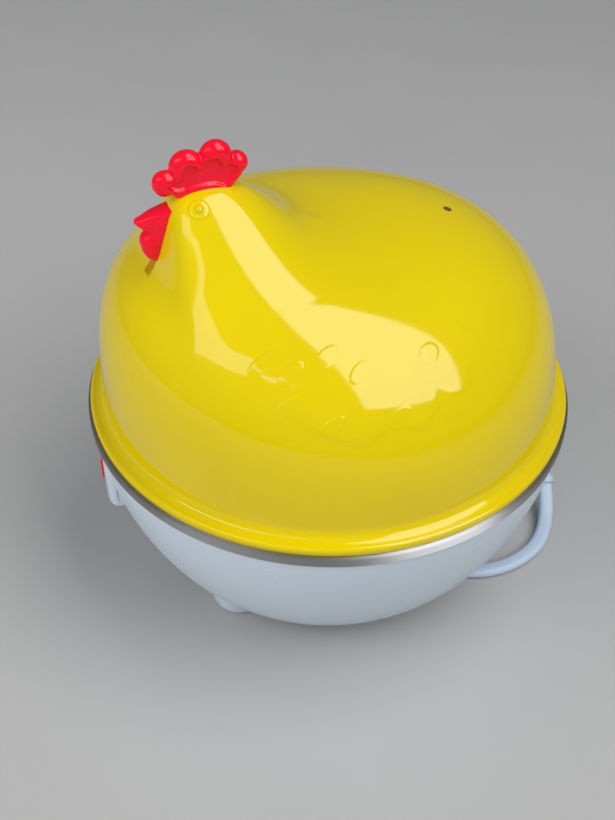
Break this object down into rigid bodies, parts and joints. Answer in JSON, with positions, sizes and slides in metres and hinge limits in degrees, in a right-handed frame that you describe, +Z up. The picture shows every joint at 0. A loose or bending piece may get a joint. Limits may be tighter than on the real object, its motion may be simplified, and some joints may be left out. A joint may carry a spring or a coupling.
{
  "type": "electric egg cooker",
  "caption": "Electric egg cooker: round bowl with a steel heating pan and egg rack under a lift-off hen-shaped lid, rocker switch on the front, cord wound up behind.",
  "frame": {"origin": "on the floor under the middle of the bowl", "axes": "+Z up, -Y the way the switch faces, +X towards the hen's left flank"},
  "size_m": [0.2602, 0.177, 0.1748],
  "materials": {
    "lid_yellow": "high gloss",
    "red": "high gloss",
    "white": "satin gloss",
    "steel": "bright spun",
    "rack_clear": "translucent white",
    "silicone": "matt",
    "heater": "as cast",
    "zinc": "zinc plated",
    "brass": "bright",
    "dark": "matt",
    "sleeve": "woven glass",
    "lead_brown": "matt",
    "lead_blue": "matt",
    "cord": "satin"
  },
  "bodies": {
    "base": {"heating_pan": "steel", "pan_gasket": "silicone", "heater_ring": "heater", "heater_pins": "zinc", "heater_stud": "zinc", "heater_nut": "zinc", "heater_bracket": "zinc", "bracket_screws": "zinc", "thermostat": "dark", "thermostat_clip": "zinc", "thermal_fuse": "zinc", "fuse_sleeve": "sleeve", "base_shell": "white", "switch_body": "white", "switch_terminals": "brass", "live_lead": "lead_brown", "switch_lead": "lead_brown", "fuse_lead": "lead_brown", "heater_lead": "lead_brown", "neutral_lead": "lead_blue", "crimp_caps": "dark", "cord_tail": "cord", "cord_clamp": "white", "clamp_screws": "zinc", "bottom_cover": "white", "cover_screws": "zinc", "foot_front_left": "white", "foot_front_right": "white", "foot_rear_left": "white", "foot_rear_right": "white", "strain_relief": "cord", "power_cord": "cord", "cord_coil": "cord", "cord_tie": "dark", "plug_body": "cord", "plug_pins": "brass"},
    "lid": {"lid_shell": "lid_yellow", "comb": "red", "beak": "red"},
    "rack": {"egg_rack": "rack_clear"},
    "rocker": {"rocker": "red"}
  },
  "joints": [
    {"name": "lid_lift", "type": "slide", "parent": "base", "child": "lid", "axis": [0, 0, 1], "range_m": [0, 0.2]},
    {"name": "rack_lift", "type": "slide", "parent": "base", "child": "rack", "axis": [0, 0, 1], "range_m": [0, 0.09]},
    {"name": "rocker_tip", "type": "hinge", "parent": "base", "child": "rocker", "pos_m": [0, -0.0785, 0.0524], "axis": [0, 0, 1], "range_deg": [0, 18]}
  ],
  "couplings": [
    {"joint": "rack_lift", "follows": "lid_lift", "ratio": 0.45}
  ]
}
